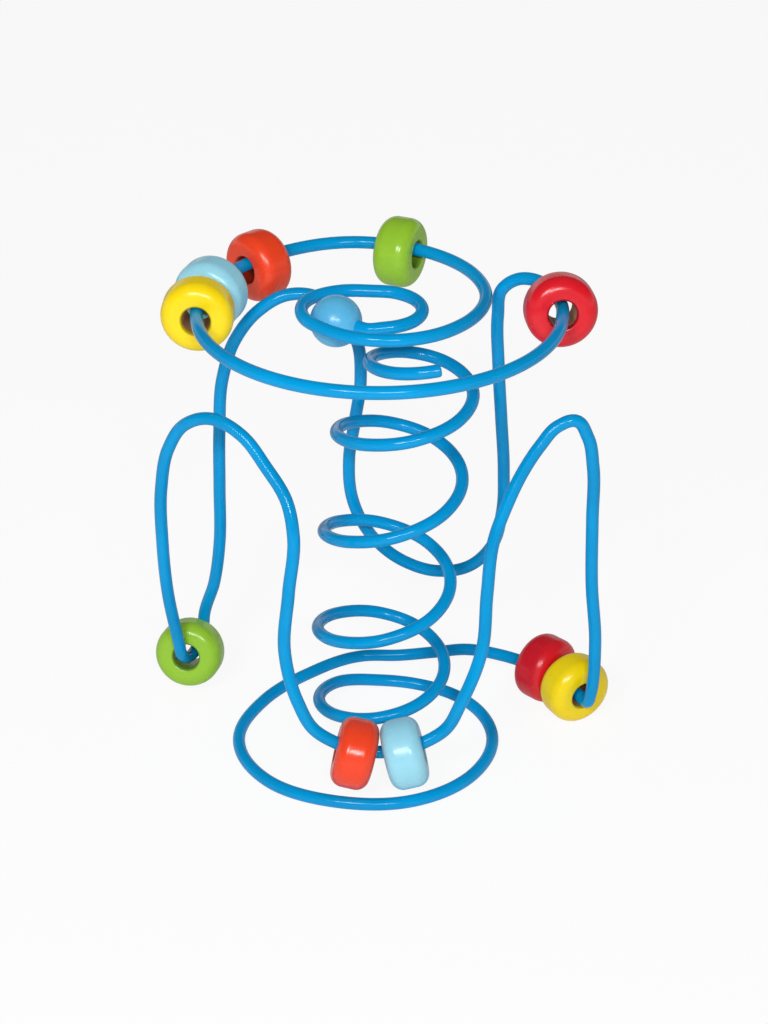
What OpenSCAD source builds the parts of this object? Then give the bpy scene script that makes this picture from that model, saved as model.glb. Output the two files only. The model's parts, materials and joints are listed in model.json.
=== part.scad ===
// Bead maze: one long coated steel wire, bent into a floor ring, a spring column,
// side loops and a flat top spiral, with ten loose beads threaded on it and a ball on its inner end.
// The origin is on the floor, under the foot of the spring column. X is right, Y is back, Z is up.

/* [Wire] */
// Diameter of the coated wire
wire_d = 4.4; // [3.8:0.1:5]
// Sides of the wire's drawn section
wire_sides = 10; // [8:1:16]
// Largest turn between two drawn sections, in degrees
wire_turn = 12; // [8:1:20]
// Longest straight run between two drawn sections
wire_run = 22; // [12:1:40]

/* [Base ring] */
// Radius of the ring that stands on the floor
base_r = 47.5; // [42:0.5:54]
// How far the ring's centre lies left of the column
base_left = 3; // [0:0.5:8]
// How far the ring's centre lies in front of the column
base_front = 4.5; // [0:0.5:8]

/* [Spring column] */
// Radius of the column's coils
column_r = 23; // [20:0.5:28]
// Radius of the coil at the top
column_top_r = 17.5; // [12:0.5:20]
// Height of the wire's free end on top of the column
column_h = 147.5; // [130:0.5:151]
// Coils in the column
column_turns = 4.53; // [3.53:0.01:5.03]
// How far the top coil leans to the right
column_lean = 17; // [0:1:18]
// How far the top coil leans to the back
column_back_lean = 5; // [0:0.5:6]

/* [Right sweep] */
// Radius of the low sweep from the base ring to the right leg
sweep_r = 55.5; // [50:0.5:62]
// How far the sweep's centre lies right of the column
sweep_right = 22; // [16:0.5:28]
// How far the sweep's centre lies in front of the column
sweep_front = 24; // [18:0.5:30]
// Radius of the sharp bend up into the right leg
bend_r = 5; // [4:0.5:8]

/* [Loops] */
// Reach of the side legs to the left and the right of the column
side_reach = 75; // [68:1:84]
// Reach of the front loop in front of the column
front_reach = 46; // [42:1:54]
// Height of the left and the right arch
arch_h = 125.5; // [110:0.5:135]
// Clear space between the spring column and the loop behind it
column_gap = 5.5; // [2:0.5:8]
// Height of the back loop's low point
back_low_h = 44; // [36:0.5:60]
// Radius of the front loop's bottom
front_u_r = 35; // [32:0.5:39]
// Lean of the front loop towards the column, in degrees
front_u_lean = 16; // [8:1:22]
// Reach of the left loop's tight bottom behind the column's axis
left_u_back = 22; // [18:0.5:26]

/* [Top ring] */
// Radius of the top ring
ring_r = 60.5; // [57:0.5:68]
// Height of the top ring
ring_h = 161; // [158:0.5:175]
// How far the ring's centre lies behind the column
ring_back = 4.5; // [0:0.5:8]

/* [Beads] */
// Diameter of a bead
bead_d = 24.5; // [22:0.5:27]
// Width of a bead along the wire
bead_w = 13.5; // [11:0.5:15]
// Play of the wire in a bead's hole
bead_play = 5; // [4:0.1:7]
// Rounding of a bead's rim
bead_edge = 4.5; // [2:0.5:5]
// Rounding of the mouth of a bead's hole
mouth_edge = 1.2; // [0.5:0.1:2]
// Space kept between a bead and what it hangs on or lies next to
clear_gap = 0.4; // [0.3:0.05:0.8]

/* [End ball] */
// Diameter of the ball on the wire's inner end
ball_d = 17.5; // [14:0.5:18]
// Play of the wire in the ball's hole
ball_play = 0.4; // [0.2:0.05:0.8]
// How far the ball lies below the top ring
ball_sink = 3.2; // [2.5:0.1:4]

/* [Hidden] */
NODES = [
    "spring_column", "base_ring", "right_sweep", "right_arch", "front_loop", "left_arch",
    "left_loop", "back_left_arch", "back_loop", "right_shoulder", "top_ring", "top_spiral", "end_ball",
    "ring_red_bead", "ring_yellow_bead", "ring_light_blue_bead", "ring_orange_bead", "ring_green_bead",
    "left_green_bead", "front_orange_bead", "front_light_blue_bead", "base_red_bead", "base_yellow_bead"
];
$fn = 24;
wire_colour = [0.02, 0.6, 0.84];
ball_colour = [0.42, 0.76, 0.92];
red = [0.84, 0.09, 0.15];
orange = [0.95, 0.3, 0.15];
yellow = [0.98, 0.86, 0.02];
green = [0.6, 0.79, 0.24];
light_blue = [0.62, 0.86, 0.93];

// Vectors
function unit(v) = v / norm(v);
function mix(a, b, s) = a + (b - a) * s;
function clamped(s) = max(0, min(1, s));
function eased(s) = let (c = clamped(s)) c * c * (3 - 2 * c);
function polar(centre, r, a, z) = [centre.x + r * cos(a), centre.y + r * sin(a), z];
function scaled(shares, sizes) = [for (p = shares) [p.x * sizes.x, p.y * sizes.y, p.z * sizes.z]];
function arc_degrees(length, r) = length / r * 180 / PI;

// The wire lies on the floor with a tenth of its diameter cut flat
wire_r = wire_d / 2;
flat_share = 0.1;
floor_z = wire_r - wire_d * flat_share;
bead_hole_d = wire_d + bead_play;
hang = bead_play / 2 - clear_gap;
base_c = [-base_left, -base_front];
ring_c = [0, ring_back];
sweep_c = [sweep_right, -sweep_front];
back_reach = column_r + wire_d + column_gap;

// Spring column, from its free top end down to the floor
coil_stations = 8;
column_steps = round(column_turns * coil_stations);
column_foot_a = 90;
column_foot_rise_share = 0.5;
column_foot_z = floor_z + wire_d * column_foot_rise_share;
column_early_share = 0.09;
column_even_share = 0.3;
column_tight_share = 0.68;
column_lean_power = 2.25;
column_foot_r_share = 0.89;
column_foot_share = 0.1;
column_foot_r = column_r * column_foot_r_share;
function column_rise(t) = t + column_early_share * t * (1 - t) - column_even_share * sin(360 * t) / (2 * PI);
function column_point(t) =
    let (tight = eased((t - column_tight_share) / (1 - column_tight_share)),
         r = mix(column_foot_r, mix(column_r, column_top_r, tight), eased(t / column_foot_share)))
    polar([column_lean * pow(t, column_lean_power), column_back_lean * t], r,
          column_foot_a + 360 * column_turns * t, mix(column_foot_z, column_h, column_rise(t)));
column_stations = [for (i = [0:column_steps - 1]) column_point(1 - i / column_steps)];

// Base ring: the wire winds out of the column's foot on to the floor and round to the back
lead_turn = 130;
lead_steps = 4;
base_to_a = -265;
base_shares = [0.995, 1.025, 1.02, 1.055, 1.02, 0.89, 0.85, 0.945];
base_steps = len(base_shares) - 1;
base_from_a = column_foot_a - lead_turn;
function lead_point(s) =
    polar(base_c * eased(s), mix(column_foot_r, base_r * base_shares[0], eased(s)),
          column_foot_a - lead_turn * s, mix(floor_z, column_foot_z, pow(1 - s, 3)));
function base_point(i) =
    polar(base_c, base_r * base_shares[i], mix(base_from_a, base_to_a, i / base_steps), floor_z);
base_stations = concat(
    [for (i = [0:lead_steps - 1]) lead_point(i / lead_steps)],
    [for (i = [0:base_steps - 1]) base_point(i)]
);

// Right sweep: up from the back of the ring, level under two beads, then sharply up
sweep_lift = clear_gap + bead_d / 2;
sweep_drop_share = 0.74;
sweep_z = sweep_lift - sweep_drop_share * hang;
sweep_from_a = 68;
sweep_to_a = 22;
sweep_steps = 4;
rise_steps = 4;
base_end = base_point(base_steps);
rise_v = [base_end.x - sweep_c.x, base_end.y - sweep_c.y];
rise_from_a = atan2(rise_v.y, rise_v.x);
rise_power = 1.5;
shrink_power = 0.8;
function rise_point(s) =
    polar(sweep_c, mix(norm(rise_v), sweep_r, pow(s, shrink_power)), mix(rise_from_a, sweep_from_a, s),
          mix(floor_z, sweep_z, pow(eased(s), rise_power)));
bend_lead_share = 0.5;
bend_lead_a = sweep_to_a + arc_degrees(bend_r * bend_lead_share, sweep_r);
sweep_angles = concat(
    [for (i = [0:sweep_steps - 1]) mix(sweep_from_a, sweep_to_a, i / sweep_steps)],
    [bend_lead_a]
);
sweep_stations = concat(
    [for (i = [0:rise_steps - 1]) rise_point(i / rise_steps)],
    [for (a = sweep_angles) polar(sweep_c, sweep_r, a, sweep_z)]
);
bend_from = polar(sweep_c, sweep_r, sweep_to_a, sweep_z);
bend_along = [sin(sweep_to_a), -cos(sweep_to_a), 0];
function bend_point(a) = bend_from + bend_r * (sin(a) * bend_along + [0, 0, 1 - cos(a)]);

// Right arch, as shares of the side reach, the front reach and the arch's height
right_arch_shares = [
    [1.015, -0.17, 0.3], [0.985, -0.15, 0.5], [0.974, -0.13, 0.7], [0.966, -0.12, 0.86],
    [0.935, -0.115, 0.95], [0.88, -0.115, 0.998], [0.8, -0.13, 0.985], [0.72, -0.18, 0.935],
    [0.64, -0.25, 0.865], [0.575, -0.34, 0.79], [0.515, -0.45, 0.7], [0.486, -0.58, 0.56],
    [0.465, -0.74, 0.42]
];
right_arch_stations = concat(
    [for (a = [0, 45, 90]) bend_point(a)],
    scaled(right_arch_shares, [side_reach, front_reach, arch_h])
);

// Front loop: its bottom carries two beads just above the base ring
front_half_a = 40;
front_side_shares = [0.37, -0.9, 0.285];
mouth_half_w = bead_w / 2 - mouth_edge;
front_sag = front_u_r - sqrt(front_u_r * front_u_r - mouth_half_w * mouth_half_w);
front_hang = hang - front_sag;
front_u_z = wire_d + clear_gap + bead_d / 2 + front_hang;
front_up = [0, sin(front_u_lean), cos(front_u_lean)];
front_u_c = [0, -front_reach, front_u_z] + front_u_r * front_up;
front_steps = 6;
function front_point(a) = front_u_c + front_u_r * (sin(a) * [1, 0, 0] - cos(a) * front_up);
function front_a(i) = mix(front_half_a, -front_half_a, i / front_steps);
front_side = scaled([front_side_shares], [side_reach, front_reach, arch_h])[0];
front_stations = concat(
    [front_side],
    [for (i = [0:front_steps]) front_point(front_a(i))],
    [[-front_side.x, front_side.y, front_side.z]]
);

// Left arch, in the same shares as the right arch
left_arch_shares = [
    [-0.43, -0.76, 0.415], [-0.41, -0.64, 0.575], [-0.385, -0.53, 0.73], [-0.414, -0.42, 0.812],
    [-0.51, -0.28, 0.893], [-0.618, -0.15, 0.962], [-0.75, -0.04, 0.99], [-0.88, 0.06, 0.955],
    [-0.965, 0.12, 0.87], [-1.01, 0.155, 0.74], [-1.02, 0.18, 0.56], [-1.01, 0.21, 0.39]
];
left_arch_stations = scaled(left_arch_shares, [side_reach, front_reach, arch_h]);

// Left loop: a tight bottom that a bead hangs across
left_room = 1.5;
left_u_r = bead_w / 2 + wire_r + left_room;
left_u_share = 0.92;
left_lift = bead_d / 2 + wire_d;
left_sag = left_u_r - sqrt(left_u_r * left_u_r - bead_w * bead_w / 4);
left_slope = asin(bead_w / 2 / left_u_r);
// The bead is turned across the wire and has rocked up at the front
left_turn = 12;
left_rock = 14;
left_shift = bead_w / 2 * tan(left_turn);
left_room_r = bead_hole_d / 2 - 2 * clear_gap;
left_ride = left_sag + wire_r / cos(left_slope) - sqrt(left_room_r * left_room_r - left_shift * left_shift);
left_half_a = 90;
left_steps = 6;
left_yaw = 68;
left_along = [cos(left_yaw), sin(left_yaw), 0];
left_u_c = [-side_reach * left_u_share, left_u_back, left_lift - left_ride + left_u_r];
function left_point(a) = left_u_c + left_u_r * (sin(a) * left_along - [0, 0, cos(a)]);
function left_a(i) = mix(-left_half_a, left_half_a, i / left_steps);
left_stations = [for (i = [0:left_steps]) left_point(left_a(i))];

// Back loops, as shares of the side reach, the back reach and the ring's height
back_left_shares = [
    [-0.81, 0.93, 0.25], [-0.775, 0.92, 0.36], [-0.765, 0.92, 0.5], [-0.755, 0.92, 0.64],
    [-0.73, 0.92, 0.77], [-0.665, 0.94, 0.86], [-0.55, 0.98, 0.926], [-0.42, 1.01, 0.958],
    [-0.29, 1.03, 0.952], [-0.18, 1.02, 0.913], [-0.105, 1, 0.85], [-0.088, 0.99, 0.76]
];
back_left_stations = scaled(back_left_shares, [side_reach, back_reach, ring_h]);
// Back loop: shares of the side reach, the back reach and the rise from its low point to the ring
back_low_shares = [
    [-0.116, 0.99, 0.53], [-0.145, 0.99, 0.4], [-0.127, 0.99, 0.25], [-0.035, 0.99, 0.125],
    [0.12, 0.99, 0.035], [0.28, 0.99, 0], [0.43, 0.99, 0.015], [0.545, 0.99, 0.09], [0.59, 0.99, 0.21]
];
back_high_shares = [
    [0.593, 0.99, 0.36], [0.574, 0.99, 0.54], [0.554, 0.99, 0.72], [0.545, 0.985, 0.88],
    [0.56, 0.96, 0.965], [0.63, 0.9, 1.005], [0.735, 0.77, 1.01]
];
function back_point(p) =
    [p.x * side_reach, p.y * back_reach, mix(back_low_h, ring_h, p.z)];
back_stations = [for (p = back_low_shares) back_point(p)];
shoulder_stations = [for (p = back_high_shares) back_point(p)];

// Top ring: round the front from the right shoulder to the back left
ring_from_a = 15;
ring_to_a = -230;
ring_steps = 11;
function ring_a(i) = mix(ring_from_a, ring_to_a, i / ring_steps);
ring_stations = [for (i = [0:ring_steps - 1]) polar(ring_c, ring_r, ring_a(i), ring_h)];

// Top spiral, as shares of the ring's radius at even turns; its inner turn sinks to the ball and runs into it
spiral_turn = 30;
spiral_shares = [
    1, 0.99, 0.865, 0.72, 0.59, 0.485, 0.42, 0.38, 0.365, 0.375, 0.42, 0.425, 0.355,
    0.295, 0.293, 0.275, 0.238, 0.19, 0.145, 0.12
];
spiral_last = len(spiral_shares) - 1;
spiral_sink_from = 12;
function spiral_sink(i) = ball_sink * clamped((i - spiral_sink_from) / (spiral_last + 1 - spiral_sink_from));
function spiral_point(i) =
    polar(ring_c, ring_r * spiral_shares[i], ring_to_a - spiral_turn * i, ring_h - spiral_sink(i));
ball_heading = 147;
ball_along = [cos(ball_heading), sin(ball_heading), 0];
ball_a = 182;
ball_reach_share = 0.238;
ball_c = polar(ring_c, ring_r * ball_reach_share, ball_a, ring_h - ball_sink);
ball_mouth = ball_c - ball_d / 2 * ball_along;
ball_lead_share = 0.2;
spiral_stations = concat(
    [for (i = [0:spiral_last]) spiral_point(i)],
    [ball_mouth - ball_d * ball_lead_share * ball_along, ball_mouth, ball_c]
);

// The whole route, station by station, and where each stretch of it starts; the first nodes are its stretches
stretches = [
    column_stations, base_stations, sweep_stations, right_arch_stations, front_stations, left_arch_stations,
    left_stations, back_left_stations, back_stations, shoulder_stations, ring_stations, spiral_stations
];
route = [for (s = stretches) each s];
last = len(route) - 1;
function stretch(name) = search([name], NODES)[0];
function start(k) = k == 0 ? 0 : start(k - 1) + len(stretches[k - 1]);
function stop(k) = k == len(stretches) - 1 ? last : start(k + 1);

// A smooth path through the stations: round wherever they lie on an arc
function mirrored(chord, v) = 2 * (unit(chord) * v) * unit(chord) - v;
function heading(i) =
    i == 0 ? mirrored(route[1] - route[0], heading(1)) :
    i == last ? unit(route[last] - route[last - 1]) :
    let (a = route[i] - route[i - 1], b = route[i + 1] - route[i])
    unit(a * norm(b) / norm(a) + b * norm(a) / norm(b));
headings = [for (i = [0:last]) heading(i)];
function span_turn(i) = acos(max(-1, min(1, headings[i] * headings[i + 1])));
function span_pull(i) = norm(route[i + 1] - route[i]) / pow(cos(span_turn(i) / 4), 2);
function span_point(i, s) =
    (1 + 2 * s) * pow(1 - s, 2) * route[i] + s * s * (3 - 2 * s) * route[i + 1]
    + span_pull(i) * (s * pow(1 - s, 2) * headings[i] - s * s * (1 - s) * headings[i + 1]);
function span_heading(i, s) = unit(
    6 * s * (1 - s) * (route[i + 1] - route[i])
    + span_pull(i) * ((1 - s) * (1 - 3 * s) * headings[i] + s * (3 * s - 2) * headings[i + 1])
);
function span_steps(i) =
    max(1, ceil(span_turn(i) / wire_turn), ceil(norm(route[i + 1] - route[i]) / wire_run));
span_counts = [for (i = [0:last - 1]) span_steps(i)];

// Drawn sections: points, directions and sideways directions that never twist
points = concat(
    [for (i = [0:last - 1]) for (j = [0:span_counts[i] - 1]) span_point(i, j / span_counts[i])],
    [route[last]]
);
alongs = concat(
    [for (i = [0:last - 1]) for (j = [0:span_counts[i] - 1]) span_heading(i, j / span_counts[i])],
    [headings[last]]
);
function squared(v, along) = unit(v - (v * along) * along);
sides = [
    for (i = 0, v = squared([0, 0, 1], alongs[0]); i < len(points);
         i = i + 1, v = i < len(points) ? squared(v, alongs[i]) : v) v
];
function first_section(i) = i == 0 ? 0 : first_section(i - 1) + span_counts[i - 1];
function section(i) = [
    for (q = [0:wire_sides - 1]) let (a = 360 * q / wire_sides)
    points[i] + wire_r * (cos(a) * sides[i] + sin(a) * cross(alongs[i], sides[i]))
];

// A stretch of the wire, as one closed tube of triangles
module tube(name) {
    k = stretch(name);
    a = first_section(start(k));
    b = first_section(stop(k));
    n = wire_sides;
    skin = [for (i = [a:b]) each section(i)];
    walls = [
        for (i = [0:b - a - 1]) for (q = [0:n - 1]) let (p = i * n + q, r = i * n + (q + 1) % n)
        each [[p, p + n, r], [r, p + n, r + n]]
    ];
    foot = [for (q = [1:n - 2]) [0, q, q + 1]];
    head = [for (q = [1:n - 2]) [(b - a) * n, (b - a) * n + q + 1, (b - a) * n + q]];
    polyhedron(points = skin, faces = concat(walls, foot, head));
}

module wire_stretch(name) {
    color(wire_colour) tube(name);
}

// A stretch that lies on the floor, cut flat there
module floor_stretch(name) {
    color(wire_colour) difference() {
        tube(name);
        translate([0, 0, -wire_d]) linear_extrude(wire_d) square(4 * side_reach, center = true);
    }
}

// A place on the route, and a bead that hangs on it
function hung(name, q, drop) =
    let (i = start(stretch(name)) + floor(q), s = q - floor(q), t = span_heading(i, s))
    [span_point(i, s) + drop * squared([0, 0, -1], t), t];

rim_steps = 3;
bead_r = bead_d / 2;
function corner(x, z, r, from) = [
    for (i = [0:rim_steps]) let (a = from + 90 * i / rim_steps) [x + r * cos(a), z + r * sin(a)]
];
bead_outline = concat(
    corner(bead_r - bead_edge, -bead_w / 2 + bead_edge, bead_edge, 270),
    corner(bead_r - bead_edge, bead_w / 2 - bead_edge, bead_edge, 0),
    corner(bead_hole_d / 2 + mouth_edge, bead_w / 2 - mouth_edge, mouth_edge, 90),
    corner(bead_hole_d / 2 + mouth_edge, -bead_w / 2 + mouth_edge, mouth_edge, 180)
);

module bead(place, colour) {
    color(colour)
    translate(place[0])
    rotate([0, acos(place[1].z), atan2(place[1].y, place[1].x)])
    rotate_extrude() polygon(bead_outline);
}

// Where the beads rest
ring_red_a = 4;
ring_red_lean = 7.5;
ring_yellow_a = -183;
ring_pair_share = 0.28;
ring_light_blue_a = ring_yellow_a - arc_degrees(bead_w * (1 + ring_pair_share), ring_r);
ring_orange_a = -226;
ring_green_turns = 1.6;
function level_place(centre, r, a, z) = [polar(centre, r, a, z), [sin(a), -cos(a), 0]];
function ring_place(a) = level_place(ring_c, ring_r, a, ring_h - hang);
// The red bead leans back on the wire
function leaned(place, a) =
    [place[0] + [0, 0, bead_w / 2 * tan(a)], cos(a) * place[1] + [0, 0, sin(a)]];
ring_red_place = leaned(ring_place(ring_red_a), ring_red_lean);
front_inner_r = front_u_r + front_hang - bead_r + bead_edge;
front_pair_a = atan((bead_w + clear_gap) / 2 / front_inner_r);
function front_place(a) =
    hung("front_loop", 1 + (front_half_a - a) / (2 * front_half_a) * front_steps, front_hang);
base_yellow_a = sweep_to_a + arc_degrees(bead_w / 2, sweep_r);
base_inner_r = sweep_r - bead_r + bead_edge;
base_red_a = base_yellow_a + 2 * atan((bead_w + clear_gap) / 2 / base_inner_r);
function base_place(a) = level_place(sweep_c, sweep_r, a, sweep_lift);
left_tangent = cos(left_rock) * left_along - [0, 0, sin(left_rock)];
left_across = [-left_along.y, left_along.x, 0];
left_place = [
    left_u_c - (left_u_r - left_ride) * (sin(left_rock) * left_along + [0, 0, cos(left_rock)]),
    cos(left_turn) * left_tangent + sin(left_turn) * left_across
];
spiral_place = hung("top_spiral", ring_green_turns, hang);

// The centre that the spiral's bead turns about on its way from rest to the spiral's third station
function pole(a, b) =
    let (turn = atan2(cross(a[1], b[1]).z, a[1] * b[1]), way = b[0] - a[0])
    (a[0] + b[0]) / 2 + [-way.y, way.x, 0] / (2 * tan(turn / 2));
spiral_reach_turns = 3;
spiral_pole = pole(spiral_place, hung("top_spiral", spiral_reach_turns, hang));
echo(ring_hinge = [ring_c.x, ring_c.y, ring_h], spiral_hinge = spiral_pole, sweep_hinge = sweep_c);
echo(front_hinge = front_u_c, front_axis = cross([1, 0, 0], front_up));
echo(left_hinge = left_u_c, left_axis = cross(left_along, [0, 0, 1]));

// Least clear space between the turns of a wound stretch, measured on its drawn points
function least_gap(name, turns) =
    let (k = stretch(name), a = first_section(start(k)), b = first_section(stop(k)),
         half = floor((b - a) / turns / 2))
    min([for (i = [a:b - half]) for (j = [i + half:b]) norm(points[j] - points[i])]) - wire_d;
echo(column_least_gap = least_gap("spring_column", column_turns));
echo(spiral_least_gap = least_gap("top_spiral", spiral_turn * spiral_last / 360));

module spring_column() { wire_stretch("spring_column"); }
module base_ring() { floor_stretch("base_ring"); }
module right_sweep() { floor_stretch("right_sweep"); }
module right_arch() { wire_stretch("right_arch"); }
module front_loop() { wire_stretch("front_loop"); }
module left_arch() { wire_stretch("left_arch"); }
module left_loop() { wire_stretch("left_loop"); }
module back_left_arch() { wire_stretch("back_left_arch"); }
module back_loop() { wire_stretch("back_loop"); }
module right_shoulder() { wire_stretch("right_shoulder"); }
module top_ring() { wire_stretch("top_ring"); }
module top_spiral() { wire_stretch("top_spiral"); }
module end_ball() {
    color(ball_colour) difference() {
        translate(ball_c) sphere(d = ball_d);
        translate(ball_c - ball_d * ball_along) rotate([0, 90, ball_heading])
            cylinder(d = wire_d + ball_play, h = ball_d + ball_play);
    }
}
module ring_red_bead() { bead(ring_red_place, red); }
module ring_yellow_bead() { bead(ring_place(ring_yellow_a), yellow); }
module ring_light_blue_bead() { bead(ring_place(ring_light_blue_a), light_blue); }
module ring_orange_bead() { bead(ring_place(ring_orange_a), orange); }
module ring_green_bead() { bead(spiral_place, green); }
module left_green_bead() { bead(left_place, green); }
module front_orange_bead() { bead(front_place(-front_pair_a), orange); }
module front_light_blue_bead() { bead(front_place(front_pair_a), light_blue); }
module base_red_bead() { bead(base_place(base_red_a), red); }
module base_yellow_bead() { bead(base_place(base_yellow_a), yellow); }

spring_column();
base_ring();
right_sweep();
right_arch();
front_loop();
left_arch();
left_loop();
back_left_arch();
back_loop();
right_shoulder();
top_ring();
top_spiral();
end_ball();
ring_red_bead();
ring_yellow_bead();
ring_light_blue_bead();
ring_orange_bead();
ring_green_bead();
left_green_bead();
front_orange_bead();
front_light_blue_bead();
base_red_bead();
base_yellow_bead();
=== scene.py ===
"""Bead maze: one coated wire, ten painted wooden beads and a stop ball, dressed round their solids."""
import json
import math

import bpy
import numpy as np
from bpy.props import FloatProperty, FloatVectorProperty, IntProperty, PointerProperty
from mathutils import Color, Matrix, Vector

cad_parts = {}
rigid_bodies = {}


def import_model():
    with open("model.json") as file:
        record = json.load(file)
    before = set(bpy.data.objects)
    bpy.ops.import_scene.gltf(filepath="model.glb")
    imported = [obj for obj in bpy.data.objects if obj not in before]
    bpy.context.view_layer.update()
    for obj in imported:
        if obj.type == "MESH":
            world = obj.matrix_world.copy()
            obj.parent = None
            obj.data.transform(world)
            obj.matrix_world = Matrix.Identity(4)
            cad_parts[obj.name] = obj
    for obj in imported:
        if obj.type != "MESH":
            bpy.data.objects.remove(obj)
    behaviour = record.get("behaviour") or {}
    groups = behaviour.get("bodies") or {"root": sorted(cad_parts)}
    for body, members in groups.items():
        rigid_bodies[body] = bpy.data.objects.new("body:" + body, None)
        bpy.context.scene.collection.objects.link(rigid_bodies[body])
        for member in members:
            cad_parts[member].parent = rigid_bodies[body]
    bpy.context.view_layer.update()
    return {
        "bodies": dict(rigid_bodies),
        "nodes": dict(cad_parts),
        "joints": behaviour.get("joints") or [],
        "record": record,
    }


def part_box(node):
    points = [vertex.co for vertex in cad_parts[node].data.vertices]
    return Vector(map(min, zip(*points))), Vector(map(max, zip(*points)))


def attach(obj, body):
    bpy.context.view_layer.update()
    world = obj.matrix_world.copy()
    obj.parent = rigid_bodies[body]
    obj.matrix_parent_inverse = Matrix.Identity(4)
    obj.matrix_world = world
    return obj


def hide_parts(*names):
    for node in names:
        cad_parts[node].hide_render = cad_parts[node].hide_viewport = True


bl_info = {
    "name": "Bead Maze",
    "version": (1, 0, 0),
    "blender": (4, 5, 0),
    "location": "3D View > Sidebar > Bead Maze",
    "description": "Bends the coated wire, turns the painted beads, fits the stop ball and sets the stage",
    "category": "Add Mesh",
}

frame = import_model()

WIRE_BODY = "wire"
WIRE_NODES = [
    "spring_column", "base_ring", "right_sweep", "right_arch", "front_loop", "left_arch",
    "left_loop", "back_left_arch", "back_loop", "right_shoulder", "top_ring", "top_spiral",
]
BALL_NODE = "end_ball"
BEAD_BODIES = [body for body in frame["bodies"] if body != WIRE_BODY]
SLOTS = {part["node"]: part["material_slot"] for part in frame["record"]["subparts"]}
HINGES = {joint["name"]: joint for joint in frame["joints"]}


# Readings from the frame

def hinge_place(name):
    """Where a joint turns, which is the centre of an arc of the wire."""
    return Vector(HINGES[name]["pos_m"])


def hinge_axis(name):
    """The direction that a joint turns about."""
    return Vector(HINGES[name]["axis"]).normalized()


def node_centre(node):
    """The middle of a solid's box."""
    low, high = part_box(node)
    return (low + high) / 2


class Turned:
    """A solid of revolution as its corners give it: centre, axis, width, radius and hole radius."""

    def __init__(self, node):
        corners = np.array([corner.co for corner in frame["nodes"][node].data.vertices], float)
        self.centre = node_centre(node)
        around = corners - np.array(self.centre)
        spread = np.linalg.eigh(around.T @ around)
        self.axis = Vector(spread[1][:, 0])
        along = around @ np.array(self.axis)
        out = np.linalg.norm(around - np.outer(along, np.array(self.axis)), axis=1)
        self.width = float(along.max() - along.min())
        self.radius = float(out.max())
        self.hole_radius = float(out.min())


RING_CENTRE = hinge_place("ring_red_travel")
RING_RADIUS = (node_centre("ring_red_bead") - RING_CENTRE).xy.length
SWEEP_CENTRE = hinge_place("base_yellow_travel")
SWEEP_RADIUS = (node_centre("base_yellow_bead") - SWEEP_CENTRE).xy.length
FRONT_CENTRE = hinge_place("front_orange_travel")
FRONT_AXIS = hinge_axis("front_orange_travel")
LEFT_CENTRE = hinge_place("left_green_rock")
LEFT_AXIS = hinge_axis("left_green_rock")
BALL_CENTRE = node_centre(BALL_NODE)
BALL_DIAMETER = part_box(BALL_NODE)[1].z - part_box(BALL_NODE)[0].z
BEAD = Turned("ring_red_bead")


# Properties that a user would change

SCREEN_WHITE = 255


def metres(name, description, default):
    """A length, in metres."""
    return FloatProperty(
        name=name, description=description, default=default, subtype="DISTANCE", unit="LENGTH")


def factor(name, description, default):
    """A share, from 0 to 1."""
    return FloatProperty(
        name=name, description=description, default=default, subtype="FACTOR", min=0, max=1)


def watts(name, description, default):
    """A lamp's power."""
    return FloatProperty(name=name, description=description, default=default, unit="POWER")


def colour(name, description, *screen):
    """A colour, written as it looks on a screen."""
    seen = Color([shade / SCREEN_WHITE for shade in screen])
    return FloatVectorProperty(
        name=name, description=description, default=list(seen.from_srgb_to_scene_linear()),
        subtype="COLOR", size=3, min=0, max=1)


class MazeWire(bpy.types.PropertyGroup):
    """The wire's section and coat."""

    diameter: metres("Diameter", "Diameter of the coated wire", 0.0044)
    sides: IntProperty(name="Sides", description="Sides of the wire's section", default=28, min=8)
    ring_step: metres("Ring step", "Distance between two rings of the wire's mesh", 0.0011)
    end_rounding: metres("End rounding", "Rounding of the wire's cut end", 0.0009)
    coat: colour("Coat", "Colour of the plastic coat", 0, 152, 214)


class MazeRoute(bpy.types.PropertyGroup):
    """The main sizes of the wire's bends; the rest come from the frame."""

    base_radius: metres("Base radius", "Radius of the ring that stands on the floor", 0.0475)
    base_left: metres("Base left", "How far the floor ring lies left of the column", 0.003)
    base_front: metres("Base front", "How far the floor ring lies in front of the column", 0.0045)
    column_radius: metres("Column radius", "Radius of the spring column's coils", 0.023)
    column_top_radius: metres("Column top radius", "Radius of the column's top coil", 0.0175)
    column_height: metres("Column height", "Height of the wire's free end on top of the column", 0.1475)
    column_turns: FloatProperty(name="Column turns", description="Coils in the column", default=4.53)
    column_lean: metres("Column lean", "How far the top coil leans to the right", 0.017)
    column_back_lean: metres("Column back lean", "How far the top coil leans to the back", 0.005)
    bend_radius: metres("Bend radius", "Radius of the sharp bend up into the right leg", 0.005)
    side_reach: metres("Side reach", "Reach of the side legs from the column", 0.075)
    front_reach: metres("Front reach", "Reach of the front loop from the column", 0.046)
    arch_height: metres("Arch height", "Height of the left and the right arch", 0.1255)
    column_gap: metres("Column gap", "Clear space between the column and the back loop", 0.0055)
    back_low: metres("Back low point", "Height of the back loop's low point", 0.044)
    front_radius: metres("Front radius", "Radius of the front loop's bottom", 0.035)
    left_room: metres("Left room", "Clear space between the left bead and the loop's legs", 0.0015)
    bead_gap: metres("Bead gap", "Space between a bead and the wire that it hangs on", 0.0004)


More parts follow.
